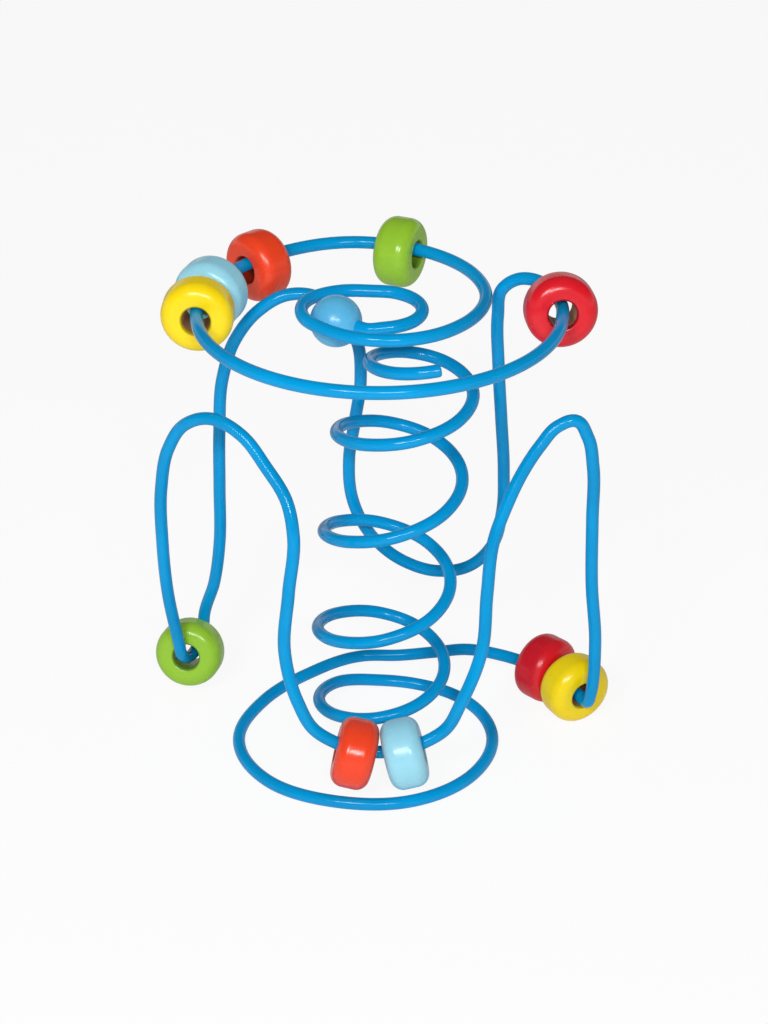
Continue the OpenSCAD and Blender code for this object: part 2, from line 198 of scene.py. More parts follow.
class MazePaint(bpy.types.PropertyGroup):
    """The beads' shape and colours."""

    rim: metres("Rim", "Rounding of a bead's rim", 0.0045)
    mouth: metres("Mouth", "Rounding of the mouth of a bead's hole", 0.0012)
    segments: IntProperty(name="Segments", description="Faces round a bead", default=96, min=24)
    red_paint: colour("Red", "Red paint", 224, 22, 38)
    orange_paint: colour("Orange", "Orange paint", 246, 68, 30)
    yellow_paint: colour("Yellow", "Yellow paint", 254, 222, 0)
    green_paint: colour("Green", "Green paint", 152, 203, 50)
    light_blue_paint: colour("Light blue", "Light blue paint", 156, 220, 240)
    ball_paint: colour("Ball", "Paint on the stop ball", 92, 186, 230)
    bare_wood: colour("Bare wood", "Bare wood in a bead's hole", 214, 148, 102)


class MazeStage(bpy.types.PropertyGroup):
    """The camera, the lamps and the floor."""

    distance: metres("Distance", "Distance from the camera to the maze", 0.8)
    elevation: FloatProperty(
        name="Elevation", description="Height of the camera over the horizon", default=math.radians(29.5),
        subtype="ANGLE", unit="ROTATION")
    lens: FloatProperty(
        name="Lens", description="Focal length, in millimetres", default=80.37, unit="CAMERA")
    key: watts("Key lamp", "Power of the lamp at the left", 4.5)
    window: watts("Window lamp", "Power of the lamp in front", 3.0)
    ambient: factor("Ambient", "Light from all round", 0.3)
    ceiling: factor("Ceiling", "Brightness of the ceiling in a gloss", 0.06)
    floor: colour("Floor", "Colour of the floor", 251, 251, 251)
    floor_white: factor("Floor white", "Share of plain white in the floor that the camera sees", 0.9)


# The wire's route: stations in the order that the wire runs, as shares of the sizes that they follow

FLAT_SHARE = 0.1
COIL_STATIONS = 8
COLUMN_FOOT_TURN = 90
COLUMN_FOOT_RISE_SHARE = 0.5
COLUMN_EARLY_SHARE = 0.09
COLUMN_EVEN_SHARE = 0.3
COLUMN_TIGHT_SHARE = 0.68
COLUMN_LEAN_POWER = 2.25
COLUMN_FOOT_RADIUS_SHARE = 0.89
COLUMN_FOOT_SHARE = 0.1
LEAD_TURN = 130
LEAD_STEPS = 4
LEAD_POWER = 3
BASE_TO_TURN = -265
BASE_SHARES = [0.995, 1.025, 1.02, 1.055, 1.02, 0.89, 0.85, 0.945]
SWEEP_DROP_SHARE = 0.74
SWEEP_TURNS = [68, 22]
SWEEP_STEPS = 4
RISE_STEPS = 4
RISE_POWER = 1.5
SHRINK_POWER = 0.8
BEND_LEAD_SHARE = 0.5
BEND_TURNS = (0, 45, 90)
RIGHT_ARCH_SHARES = [
    (1.015, -0.17, 0.3), (0.985, -0.15, 0.5), (0.974, -0.13, 0.7), (0.966, -0.12, 0.86),
    (0.935, -0.115, 0.95), (0.88, -0.115, 0.998), (0.8, -0.13, 0.985), (0.72, -0.18, 0.935),
    (0.64, -0.25, 0.865), (0.575, -0.34, 0.79), (0.515, -0.45, 0.7), (0.486, -0.58, 0.56),
    (0.465, -0.74, 0.42),
]
FRONT_HALF_TURN = 40
FRONT_STEPS = 6
FRONT_SIDE_SHARES = (0.37, -0.9, 0.285)
LEFT_ARCH_SHARES = [
    (-0.43, -0.76, 0.415), (-0.41, -0.64, 0.575), (-0.385, -0.53, 0.73), (-0.414, -0.42, 0.812),
    (-0.51, -0.28, 0.893), (-0.618, -0.15, 0.962), (-0.75, -0.04, 0.99), (-0.88, 0.06, 0.955),
    (-0.965, 0.12, 0.87), (-1.01, 0.155, 0.74), (-1.02, 0.18, 0.56), (-1.01, 0.21, 0.39),
]
LEFT_HALF_TURN = 90
LEFT_STEPS = 6
BACK_LEFT_SHARES = [
    (-0.81, 0.93, 0.25), (-0.775, 0.92, 0.36), (-0.765, 0.92, 0.5), (-0.755, 0.92, 0.64),
    (-0.73, 0.92, 0.77), (-0.665, 0.94, 0.86), (-0.55, 0.98, 0.926), (-0.42, 1.01, 0.958),
    (-0.29, 1.03, 0.952), (-0.18, 1.02, 0.913), (-0.105, 1, 0.85), (-0.088, 0.99, 0.76),
]
BACK_SHARES = [
    (-0.116, 0.99, 0.53), (-0.145, 0.99, 0.4), (-0.127, 0.99, 0.25), (-0.035, 0.99, 0.125),
    (0.12, 0.99, 0.035), (0.28, 0.99, 0), (0.43, 0.99, 0.015), (0.545, 0.99, 0.09), (0.59, 0.99, 0.21),
    (0.593, 0.99, 0.36), (0.574, 0.99, 0.54), (0.554, 0.99, 0.72), (0.545, 0.985, 0.88),
    (0.56, 0.96, 0.965), (0.63, 0.9, 1.005), (0.735, 0.77, 1.01),
]
RING_TURNS = [15, -230]
RING_STEPS = 11
SPIRAL_TURN = 30
SPIRAL_SHARES = [
    1, 0.99, 0.865, 0.72, 0.59, 0.485, 0.42, 0.38, 0.365, 0.375, 0.42, 0.425, 0.355,
    0.295, 0.293, 0.275, 0.238, 0.19, 0.145, 0.12,
]
SPIRAL_SINK_FROM = 12
BALL_HEADING = 147
BALL_LEAD_SHARE = 0.2
CURVE_STEPS = 24


def polar(centre, radius, degrees, height):
    """A point on a level circle."""
    turn = math.radians(degrees)
    return Vector((centre.x + radius * math.cos(turn), centre.y + radius * math.sin(turn), height))


def mix(start, end, share):
    """The value at a share of the way."""
    return start + (end - start) * share


def steps(start, end, count):
    """Evenly spaced values from the start, without the end."""
    return [mix(start, end, i / count) for i in range(count)]


def stops(start, end, count):
    """Evenly spaced values from the start to the end."""
    return [*steps(start, end, count), end]


def eased(share):
    """A share that starts and ends slowly."""
    held = min(1, max(0, share))
    return held * held * (3 - 2 * held)


def scaled(shares, *sizes):
    """Points from rows of shares of three sizes."""
    return [Vector([share * size for share, size in zip(row, sizes)]) for row in shares]


def column_foot_radius(route):
    """Radius of the spring column where it leaves the floor."""
    return route.column_radius * COLUMN_FOOT_RADIUS_SHARE


def column_stations(route, foot):
    """The spring column, from its free top end down to the floor."""
    count = round(route.column_turns * COIL_STATIONS)
    stations = []
    for share in steps(1, 0, count):
        bounce = math.sin(math.tau * share) / math.tau
        rise = share + COLUMN_EARLY_SHARE * share * (1 - share) - COLUMN_EVEN_SHARE * bounce
        tight = eased((share - COLUMN_TIGHT_SHARE) / (1 - COLUMN_TIGHT_SHARE))
        lean = Vector((route.column_lean * share ** COLUMN_LEAN_POWER, route.column_back_lean * share))
        above = mix(route.column_radius, route.column_top_radius, tight)
        radius = mix(column_foot_radius(route), above, eased(share / COLUMN_FOOT_SHARE))
        turn = COLUMN_FOOT_TURN + 360 * route.column_turns * share
        stations.append(polar(lean, radius, turn, mix(foot, route.column_height, rise)))
    return stations


def base_stations(route, floor, foot):
    """Out of the column's foot on to the floor, and round to the back."""
    centre = Vector((-route.base_left, -route.base_front))
    start = route.base_radius * BASE_SHARES[0]
    lead = [
        polar(centre * eased(share), mix(column_foot_radius(route), start, eased(share)),
              COLUMN_FOOT_TURN - LEAD_TURN * share, mix(floor, foot, (1 - share) ** LEAD_POWER))
        for share in steps(0, 1, LEAD_STEPS)
    ]
    turns = stops(COLUMN_FOOT_TURN - LEAD_TURN, BASE_TO_TURN, len(BASE_SHARES) - 1)
    ring = [
        polar(centre, route.base_radius * share, turn, floor) for share, turn in zip(BASE_SHARES, turns)
    ]
    return lead + ring[:-1], ring[-1]


def sweep_stations(route, wire, floor, base_end):
    """Up from the back of the floor ring, level under two beads, then sharply up."""
    hang = BEAD.hole_radius - wire.diameter / 2 - route.bead_gap
    height = node_centre("base_yellow_bead").z - SWEEP_DROP_SHARE * hang
    out = (base_end - SWEEP_CENTRE).xy
    out_turn = math.degrees(math.atan2(out.y, out.x))
    rise = [
        polar(SWEEP_CENTRE, mix(out.length, SWEEP_RADIUS, share ** SHRINK_POWER),
              mix(out_turn, SWEEP_TURNS[0], share), mix(floor, height, eased(share) ** RISE_POWER))
        for share in steps(0, 1, RISE_STEPS)
    ]
    lead = math.degrees(route.bend_radius * BEND_LEAD_SHARE / SWEEP_RADIUS)
    turns = steps(*SWEEP_TURNS, SWEEP_STEPS) + [SWEEP_TURNS[1] + lead]
    level = [polar(SWEEP_CENTRE, SWEEP_RADIUS, turn, height) for turn in turns]
    bend_from = polar(SWEEP_CENTRE, SWEEP_RADIUS, SWEEP_TURNS[1], height)
    last = math.radians(SWEEP_TURNS[1])
    along = Vector((math.sin(last), -math.cos(last), 0))
    bend = [
        bend_from + route.bend_radius * (math.sin(turn) * along + Vector((0, 0, 1 - math.cos(turn))))
        for turn in map(math.radians, BEND_TURNS)
    ]
    return rise + level + bend


def loop_stations(route, wire):
    """The right arch, the front loop, the left arch and the left loop."""
    sizes = route.side_reach, route.front_reach, route.arch_height
    up = Vector((0, FRONT_AXIS.z, -FRONT_AXIS.y))
    side = scaled([FRONT_SIDE_SHARES], *sizes)[0]
    right = Vector((1, 0, 0))
    front = [
        FRONT_CENTRE + route.front_radius * (math.sin(turn) * right - math.cos(turn) * up)
        for turn in map(math.radians, stops(FRONT_HALF_TURN, -FRONT_HALF_TURN, FRONT_STEPS))
    ]
    along = Vector((-LEFT_AXIS.y, LEFT_AXIS.x, 0))
    radius = BEAD.width / 2 + wire.diameter / 2 + route.left_room
    left = [
        LEFT_CENTRE + radius * (math.sin(turn) * along - Vector((0, 0, math.cos(turn))))
        for turn in map(math.radians, stops(-LEFT_HALF_TURN, LEFT_HALF_TURN, LEFT_STEPS))
    ]
    return (scaled(RIGHT_ARCH_SHARES, *sizes) + [side] + front + [Vector((-side.x, side.y, side.z))]
            + scaled(LEFT_ARCH_SHARES, *sizes) + left)


def back_stations(route, wire):
    """The arch behind the left loop, the back loop and the right shoulder."""
    reach = route.column_radius + wire.diameter + route.column_gap
    arch = scaled(BACK_LEFT_SHARES, route.side_reach, reach, RING_CENTRE.z)
    loop = scaled(BACK_SHARES, route.side_reach, reach, RING_CENTRE.z - route.back_low)
    return arch + [point + Vector((0, 0, route.back_low)) for point in loop]


def spiral_sink(i):
    """How far the spiral has sunk towards the ball's height at one of its stations."""
    share = (i - SPIRAL_SINK_FROM) / (len(SPIRAL_SHARES) - SPIRAL_SINK_FROM)
    return (RING_CENTRE.z - BALL_CENTRE.z) * min(1, max(0, share))


def top_stations():
    """The top ring, the spiral and the run into the ball."""
    height = RING_CENTRE.z
    ring = [polar(RING_CENTRE, RING_RADIUS, turn, height) for turn in steps(*RING_TURNS, RING_STEPS)]
    spiral = [
        polar(RING_CENTRE, RING_RADIUS * share, RING_TURNS[1] - SPIRAL_TURN * i, height - spiral_sink(i))
        for i, share in enumerate(SPIRAL_SHARES)
    ]
    along = ball_along()
    mouth = BALL_CENTRE - BALL_DIAMETER / 2 * along
    return ring + spiral + [mouth - BALL_DIAMETER * BALL_LEAD_SHARE * along, mouth, BALL_CENTRE]


def ball_along():
    """The direction in which the wire runs into the ball."""
    turn = math.radians(BALL_HEADING)
    return Vector((math.cos(turn), math.sin(turn), 0))


def wire_stations(route, wire):
    """The whole route, from the column's free end to the ball."""
    floor = wire.diameter / 2 - wire.diameter * FLAT_SHARE
    foot = floor + wire.diameter * COLUMN_FOOT_RISE_SHARE
    base, base_end = base_stations(route, floor, foot)
    return (column_stations(route, foot) + base + sweep_stations(route, wire, floor, base_end)
            + loop_stations(route, wire) + back_stations(route, wire) + top_stations())


def wire_headings(stations):
    """The wire's direction at each station: round wherever the stations lie on an arc."""
    inner = []
    for before, here, after in zip(stations, stations[1:], stations[2:]):
        a, b = here - before, after - here
        inner.append((a * (b.length / a.length) + b * (a.length / b.length)).normalized())
    first = (stations[1] - stations[0]).normalized()
    start = 2 * first.dot(inner[0]) * first - inner[0]
    return [start, *inner, (stations[-1] - stations[-2]).normalized()]


def wire_curve(stations):
    """A Bezier curve through the stations, with handles along the headings that keep an arc round."""
    data = bpy.data.curves.new("wire_route", "CURVE")
    data.dimensions = "3D"
    data.resolution_u = CURVE_STEPS
    spline = data.splines.new("BEZIER")
    spline.bezier_points.add(len(stations) - 1)
    headings = wire_headings(stations)
    pulls = []
    for (here, ahead), (a, b) in zip(zip(stations, stations[1:]), zip(headings, headings[1:])):
        pulls.append((ahead - here).length / math.cos(a.angle(b) / 4) ** 2 / 3)
    for i, point in enumerate(spline.bezier_points):
        point.handle_left_type = point.handle_right_type = "FREE"
        point.co = stations[i]
        point.handle_left = stations[i] - headings[i] * pulls[max(i - 1, 0)]
        point.handle_right = stations[i] + headings[i] * pulls[min(i, len(pulls) - 1)]
    return data


# Node trees

LOCAL = "turned"
MERGE_DISTANCE = 1e-6
FLOAT_A, FLOAT_B, FLOAT_MIXED = 2, 3, 0
COLOUR_A, COLOUR_B, COLOUR_MIXED = 6, 7, 2


def add_node(tree, kind, **settings):
    """A node in a tree, with its settings."""
    node = tree.nodes.new(kind)
    for name, value in settings.items():
        setattr(node, name, value)
    return node


def set_inputs(node, **values):
    """Plain values on a node's named inputs."""
    for name, value in values.items():
        node.inputs[name.replace("_", " ")].default_value = value
    return node


def new_group(kind, name, inputs, outputs):
    """An empty node group with named sockets, its input node and its output node."""
    tree = bpy.data.node_groups.new(name, kind)
    for label, socket in inputs.items():
        tree.interface.new_socket(label, in_out="INPUT", socket_type=socket)
    for label, socket in outputs.items():
        tree.interface.new_socket(label, in_out="OUTPUT", socket_type=socket)
    return tree, tree.nodes.new("NodeGroupInput"), tree.nodes.new("NodeGroupOutput")


def chain(tree, *sockets):
    """Links sockets two by two."""
    for source, target in zip(sockets[::2], sockets[1::2]):
        tree.links.new(source, target)


def math_node(tree, operation, *values):
    """A Math node; a value is a number or the socket that feeds it."""
    node = add_node(tree, "ShaderNodeMath", operation=operation)
    for socket, value in zip(node.inputs, values):
        if isinstance(value, bpy.types.NodeSocket):
            tree.links.new(value, socket)
        else:
            socket.default_value = value
    return node.outputs[0]


def map_range(tree, source, target=(0, 1), **settings):
    """A Map Range node from one pair of limits to another."""
    node = add_node(tree, "ShaderNodeMapRange", **settings)
    return set_inputs(node, From_Min=source[0], From_Max=source[1], To_Min=target[0], To_Max=target[1])


def tint(tree):
    """A Mix node that multiplies one colour by another."""
    node = add_node(tree, "ShaderNodeMix", data_type="RGBA", blend_type="MULTIPLY")
    return set_inputs(node, Factor=1)


def wire_tree():
    """Geometry nodes that draw a round wire along a curve and press it flat on the floor."""
    tree, given, made = new_group(
        "GeometryNodeTree", "coated_wire",
        {"Geometry": "NodeSocketGeometry", "Diameter": "NodeSocketFloat", "Sides": "NodeSocketInt",
         "Ring Step": "NodeSocketFloat", "Coat": "NodeSocketMaterial"},
        {"Geometry": "NodeSocketGeometry"})
    even = add_node(tree, "GeometryNodeResampleCurve", mode="LENGTH")
    section = add_node(tree, "GeometryNodeCurvePrimitiveCircle")
    tube = set_inputs(add_node(tree, "GeometryNodeCurveToMesh"), Fill_Caps=True)
    place = add_node(tree, "GeometryNodeInputPosition")
    parts = add_node(tree, "ShaderNodeSeparateXYZ")
    lifted = add_node(tree, "ShaderNodeCombineXYZ")
    seated = add_node(tree, "GeometryNodeSetPosition")
    smooth = add_node(tree, "GeometryNodeSetShadeSmooth")
    real = add_node(tree, "GeometryNodeRealizeInstances")
    coat = add_node(tree, "GeometryNodeSetMaterial")
    radius = math_node(tree, "MULTIPLY", given.outputs["Diameter"], 0.5)
    above_floor = math_node(tree, "MAXIMUM", parts.outputs["Z"], 0)
    chain(
        tree,
        given.outputs["Geometry"], even.inputs["Curve"],
        given.outputs["Ring Step"], even.inputs["Length"],
        given.outputs["Sides"], section.inputs["Resolution"],
        radius, section.inputs["Radius"],
        even.outputs["Curve"], tube.inputs["Curve"],
        section.outputs["Curve"], tube.inputs["Profile Curve"],
        tube.outputs["Mesh"], seated.inputs["Geometry"],
        place.outputs["Position"], parts.inputs["Vector"],
        parts.outputs["X"], lifted.inputs["X"],
        parts.outputs["Y"], lifted.inputs["Y"],
        above_floor, lifted.inputs["Z"],
        lifted.outputs["Vector"], seated.inputs["Position"],
        seated.outputs["Geometry"], smooth.inputs["Geometry"],
        smooth.outputs["Geometry"], real.inputs["Geometry"],
        real.outputs["Geometry"], coat.inputs["Geometry"],
        given.outputs["Coat"], coat.inputs["Material"],
        coat.outputs["Geometry"], made.inputs["Geometry"])
    return tree


def lathe_tree():
    """Geometry nodes that turn a half outline into a round piece and set it on its axis."""
    tree, given, made = new_group(
        "GeometryNodeTree", "turned_piece",
        {"Geometry": "NodeSocketGeometry", "Segments": "NodeSocketInt", "Middle Radius": "NodeSocketFloat",
         "Place": "NodeSocketVector", "Axis": "NodeSocketVector", "Paint": "NodeSocketMaterial"},
        {"Geometry": "NodeSocketGeometry"})
    outline = add_node(tree, "GeometryNodeMeshToCurve")
    circle = add_node(tree, "GeometryNodeCurvePrimitiveCircle")
    level = add_node(tree, "GeometryNodeSetCurveNormal", mode="Z_UP")
    turned = add_node(tree, "GeometryNodeCurveToMesh")
    closed = set_inputs(add_node(tree, "GeometryNodeMergeByDistance"), Distance=MERGE_DISTANCE)
    place = add_node(tree, "GeometryNodeInputPosition")
    kept = add_node(tree, "GeometryNodeStoreNamedAttribute", data_type="FLOAT_VECTOR", domain="POINT")
    set_inputs(kept, Name=LOCAL)
    tilt = add_node(tree, "FunctionNodeAlignRotationToVector", axis="Z")
    moved = add_node(tree, "GeometryNodeTransform")
    smooth = add_node(tree, "GeometryNodeSetShadeSmooth")
    real = add_node(tree, "GeometryNodeRealizeInstances")
    paint = add_node(tree, "GeometryNodeSetMaterial")
    chain(
        tree,
        given.outputs["Geometry"], outline.inputs["Mesh"],
        given.outputs["Segments"], circle.inputs["Resolution"],
        given.outputs["Middle Radius"], circle.inputs["Radius"],
        circle.outputs["Curve"], level.inputs["Curve"],
        level.outputs["Curve"], turned.inputs["Curve"],
        outline.outputs["Curve"], turned.inputs["Profile Curve"],
        turned.outputs["Mesh"], closed.inputs["Geometry"],
        closed.outputs["Geometry"], kept.inputs["Geometry"],
        place.outputs["Position"], kept.inputs["Value"],
        kept.outputs["Geometry"], moved.inputs["Geometry"],
        given.outputs["Axis"], tilt.inputs["Vector"],
        tilt.outputs["Rotation"], moved.inputs["Rotation"],
        given.outputs["Place"], moved.inputs["Translation"],
        moved.outputs["Geometry"], smooth.inputs["Geometry"],
        smooth.outputs["Geometry"], real.inputs["Geometry"],
        real.outputs["Geometry"], paint.inputs["Geometry"],
        given.outputs["Paint"], paint.inputs["Material"],
        paint.outputs["Geometry"], made.inputs["Geometry"])
    return tree


def grown(name, data, tree, values):
    """The mesh that a tree grows from a curve or an outline, as a plain object at the origin."""
    seed = bpy.data.objects.new(name + "_seed", data)
    bpy.context.scene.collection.objects.link(seed)
    modifier = seed.modifiers.new(tree.name, "NODES")
    modifier.node_group = tree
    sockets = {item.name: item.identifier for item in tree.interface.items_tree if item.in_out == "INPUT"}
    for label, value in values.items():
        modifier[sockets[label]] = value
    graph = bpy.context.evaluated_depsgraph_get()
    mesh = bpy.data.meshes.new_from_object(seed.evaluated_get(graph))
    seed.modifiers.remove(modifier)
    bpy.data.objects.remove(seed)
    mesh.name = name
    piece = bpy.data.objects.new(name, mesh)
    bpy.context.scene.collection.objects.link(piece)
    return piece


# Shader groups

FINE_DETAIL, FINE_ROUGHNESS = 2, 0.5
DULLING_SCALE, DULLING_DETAIL, DULLING_ROUGHNESS = 70, 3, 0.6
DULLING_LIMITS = (0.35, 0.7)
GRAIN_STRETCH = (1, 1, 0.08)
GRAIN_SCALE, GRAIN_DETAIL, GRAIN_ROUGHNESS = 900, 4, 0.65
GRAIN_IN_PAINT_LIMITS, GRAIN_IN_PAINT = (0.3, 0.7), (0.94, 1)
GRAIN_IN_WOOD_LIMITS, GRAIN_IN_WOOD = (0.35, 0.65), (0.55, 1.1)
DRIP_SCALE, DRIP_DETAIL = 420, 2
DRIP_REACH = 0.0016
BARE_EDGE = 0.0002
HOLE_EDGE = 0.0003
# Painted shade: the share to which paint inside a bead's hole is darkened, standing in for the shade in the
# hole.
HOLE_PAINTED_SHADE = 0.5


def ripple_group():
    """The fine ripple and the uneven gloss of a coat that was dipped or sprayed."""
    tree, given, made = new_group(
        "ShaderNodeTree", "coat_ripple",
        {"Ripples per Metre": "NodeSocketFloat", "Gloss": "NodeSocketFloat", "Dull": "NodeSocketFloat"},
        {"Roughness": "NodeSocketFloat", "Height": "NodeSocketFloat"})
    where = add_node(tree, "ShaderNodeTexCoord")
    fine = set_inputs(add_node(tree, "ShaderNodeTexNoise"), Detail=FINE_DETAIL, Roughness=FINE_ROUGHNESS)
    broad = set_inputs(
        add_node(tree, "ShaderNodeTexNoise"), Scale=DULLING_SCALE, Detail=DULLING_DETAIL,
        Roughness=DULLING_ROUGHNESS)
    dulled = map_range(tree, DULLING_LIMITS)
    chain(
        tree,
        where.outputs["Object"], fine.inputs["Vector"],
        where.outputs["Object"], broad.inputs["Vector"],
        given.outputs["Ripples per Metre"], fine.inputs["Scale"],
        broad.outputs["Fac"], dulled.inputs["Value"],
        given.outputs["Gloss"], dulled.inputs["To Min"],
        given.outputs["Dull"], dulled.inputs["To Max"],
        dulled.outputs["Result"], made.inputs["Roughness"],
        fine.outputs["Fac"], made.inputs["Height"])
    return tree


def wood_group():
    """Paint over turned wood: grain that shows through, painted shade that darkens the paint inside the
    hole, and a bare hole with an uneven edge of paint.
    """
    tree, given, made = new_group(
        "ShaderNodeTree", "paint_over_wood",
        {"Paint": "NodeSocketColor", "Wood": "NodeSocketColor", "Bare Radius": "NodeSocketFloat",
         "Bare Half": "NodeSocketFloat"},
        {"Color": "NodeSocketColor", "Bare": "NodeSocketFloat", "Grain": "NodeSocketFloat"})
    local = add_node(tree, "ShaderNodeAttribute", attribute_name=LOCAL)
    parts = add_node(tree, "ShaderNodeSeparateXYZ")
    stretched = set_inputs(add_node(tree, "ShaderNodeMapping"), Scale=GRAIN_STRETCH)
    grain = set_inputs(
        add_node(tree, "ShaderNodeTexNoise"), Scale=GRAIN_SCALE, Detail=GRAIN_DETAIL,
        Roughness=GRAIN_ROUGHNESS)
    drips = set_inputs(add_node(tree, "ShaderNodeTexNoise"), Scale=DRIP_SCALE, Detail=DRIP_DETAIL)
    out = math_node(tree, "POWER", math_node(
        tree, "ADD",
        math_node(tree, "POWER", parts.outputs["X"], 2),
        math_node(tree, "POWER", parts.outputs["Y"], 2)), 0.5)
    edge = math_node(tree, "MULTIPLY_ADD", drips.outputs["Fac"], DRIP_REACH, -DRIP_REACH / 2)
    along = math_node(tree, "ADD", math_node(tree, "ABSOLUTE", parts.outputs["Z"]), edge)
    hole = math_node(tree, "SUBTRACT", given.outputs["Bare Radius"], out)
    inward = math_node(tree, "MINIMUM", hole, math_node(tree, "SUBTRACT", given.outputs["Bare Half"], along))
    bare = map_range(tree, (-BARE_EDGE, BARE_EDGE), interpolation_type="SMOOTHSTEP")
    shown = map_range(tree, GRAIN_IN_PAINT_LIMITS, GRAIN_IN_PAINT)
    dark = map_range(tree, GRAIN_IN_WOOD_LIMITS, GRAIN_IN_WOOD)
    # Painted shade: the paint inside the hole is darkened where the hole's own shade falls.
    hole_painted_shade = map_range(tree, (-HOLE_EDGE, HOLE_EDGE), (1, HOLE_PAINTED_SHADE), interpolation_type="SMOOTHSTEP")
    grain_and_painted_shade = math_node(tree, "MULTIPLY", shown.outputs["Result"], hole_painted_shade.outputs["Result"])
    painted, wooden = tint(tree), tint(tree)
    both = add_node(tree, "ShaderNodeMix", data_type="RGBA")
    chain(
        tree,
        local.outputs["Vector"], parts.inputs["Vector"],
        local.outputs["Vector"], stretched.inputs["Vector"],
        local.outputs["Vector"], drips.inputs["Vector"],
        stretched.outputs["Vector"], grain.inputs["Vector"],
        inward, bare.inputs["Value"],
        grain.outputs["Fac"], shown.inputs["Value"],
        grain.outputs["Fac"], dark.inputs["Value"],
        hole, hole_painted_shade.inputs["Value"],
        given.outputs["Paint"], painted.inputs[COLOUR_A],
        grain_and_painted_shade, painted.inputs[COLOUR_B],
        given.outputs["Wood"], wooden.inputs[COLOUR_A],
        dark.outputs["Result"], wooden.inputs[COLOUR_B],
        bare.outputs["Result"], both.inputs["Factor"],
        painted.outputs[COLOUR_MIXED], both.inputs[COLOUR_A],
        wooden.outputs[COLOUR_MIXED], both.inputs[COLOUR_B],
        both.outputs[COLOUR_MIXED], made.inputs["Color"],
        bare.outputs["Result"], made.inputs["Bare"],
        grain.outputs["Fac"], made.inputs["Grain"])
    return tree


def shared_group(name, build):
    """A node group that is built once and placed in each material that uses it."""
    return bpy.data.node_groups.get(name) or build()


# Materials

COAT_RIPPLES, COAT_GLOSS, COAT_DULL = 900, 0.1, 0.2
COAT_SPECULAR = 0.2
COAT_DEPTH = 0.00003
CLOUD_SCALE, CLOUD_DETAIL = 45, 2
CLOUD_LIMITS, CLOUD_SHADES = (0.3, 0.7), (0.9, 1.06)
PAINT_RIPPLES, PAINT_GLOSS, PAINT_DULL = 420, 0.21, 0.31
PAINT_SPECULAR = 0.45
PAINT_DEPTH = 0.00006
WOOD_ROUGHNESS = 0.75
GRAIN_DEPTH_SHARE = 0.4
BARE_SHARES = {
    "red_paint": 0.8, "yellow_paint": 0.8, "light_blue_paint": 0.5, "orange_paint": 0, "green_paint": 0,
}
WHITE = (1, 1, 1, 1)


def new_material(name):
    """A material with its Principled shader, and the node tree to dress it."""
    material = bpy.data.materials.new(name)
    material.use_nodes = True
    return material, material.node_tree, material.node_tree.nodes["Principled BSDF"]


def place_group(tree, name, build, **values):
    """A shared group in a material's tree, with this material's own values."""
    node = add_node(tree, "ShaderNodeGroup", node_tree=shared_group(name, build))
    return set_inputs(node, **values)


def bump(tree, shader, height, depth):
    """A bump of a given depth, in metres, on the shader's normal."""
    node = set_inputs(add_node(tree, "ShaderNodeBump"), Strength=1, Distance=depth)
    chain(tree, height, node.inputs["Height"], node.outputs["Normal"], shader.inputs["Normal"])


def rgba(colour_property):
    """A colour property with full alpha."""
    return (*colour_property, 1)


def coat_material(wire):
    """Glossy plastic coat on the wire."""
    material, tree, shader = new_material("wire_coat")
    ripple = place_group(
        tree, "coat_ripple", ripple_group, Ripples_per_Metre=COAT_RIPPLES, Gloss=COAT_GLOSS, Dull=COAT_DULL)
    set_inputs(shader, Specular_IOR_Level=COAT_SPECULAR)
    where = add_node(tree, "ShaderNodeTexCoord")
    clouds = set_inputs(add_node(tree, "ShaderNodeTexNoise"), Scale=CLOUD_SCALE, Detail=CLOUD_DETAIL)
    shade = map_range(tree, CLOUD_LIMITS, CLOUD_SHADES)
    tinted = tint(tree)
    tinted.inputs[COLOUR_A].default_value = rgba(wire.coat)
    chain(
        tree,
        where.outputs["Object"], clouds.inputs["Vector"],
        clouds.outputs["Fac"], shade.inputs["Value"],
        shade.outputs["Result"], tinted.inputs[COLOUR_B],
        tinted.outputs[COLOUR_MIXED], shader.inputs["Base Color"],
        ripple.outputs["Roughness"], shader.inputs["Roughness"])
    bump(tree, shader, ripple.outputs["Height"], COAT_DEPTH)
    return material


def paint_material(name, paint, wood, bare_radius, bare_half):
    """Semi-gloss paint on turned wood, with a bare stretch in the middle of the hole of some beads and
    painted shade on the paint inside the beads' holes.
    """
    material, tree, shader = new_material(name)
    group = place_group(
        tree, "paint_over_wood", wood_group, Paint=rgba(paint), Wood=rgba(wood), Bare_Radius=bare_radius,
        Bare_Half=bare_half)
    set_inputs(shader, Specular_IOR_Level=PAINT_SPECULAR)
    ripple = place_group(
        tree, "coat_ripple", ripple_group, Ripples_per_Metre=PAINT_RIPPLES, Gloss=PAINT_GLOSS,
        Dull=PAINT_DULL)
    rough = add_node(tree, "ShaderNodeMix", data_type="FLOAT")
    rough.inputs[FLOAT_B].default_value = WOOD_ROUGHNESS
    height = math_node(
        tree, "MULTIPLY_ADD", group.outputs["Grain"], GRAIN_DEPTH_SHARE, ripple.outputs["Height"])
    chain(
        tree,
        group.outputs["Color"], shader.inputs["Base Color"],
        group.outputs["Bare"], rough.inputs["Factor"],
        ripple.outputs["Roughness"], rough.inputs[FLOAT_A],
        rough.outputs[FLOAT_MIXED], shader.inputs["Roughness"])
    bump(tree, shader, height, PAINT_DEPTH)
    return material


# Outlines of turned pieces

ARC_STEPS = 14
BALL_STEPS = 48


def arc(out, along, radius, start):
    """A quarter round of an outline from an angle in degrees, as distances out from and along the axis."""
    turns = map(math.radians, stops(start, start + 90, ARC_STEPS))
    return [(out + radius * math.cos(turn), along + radius * math.sin(turn)) for turn in turns]


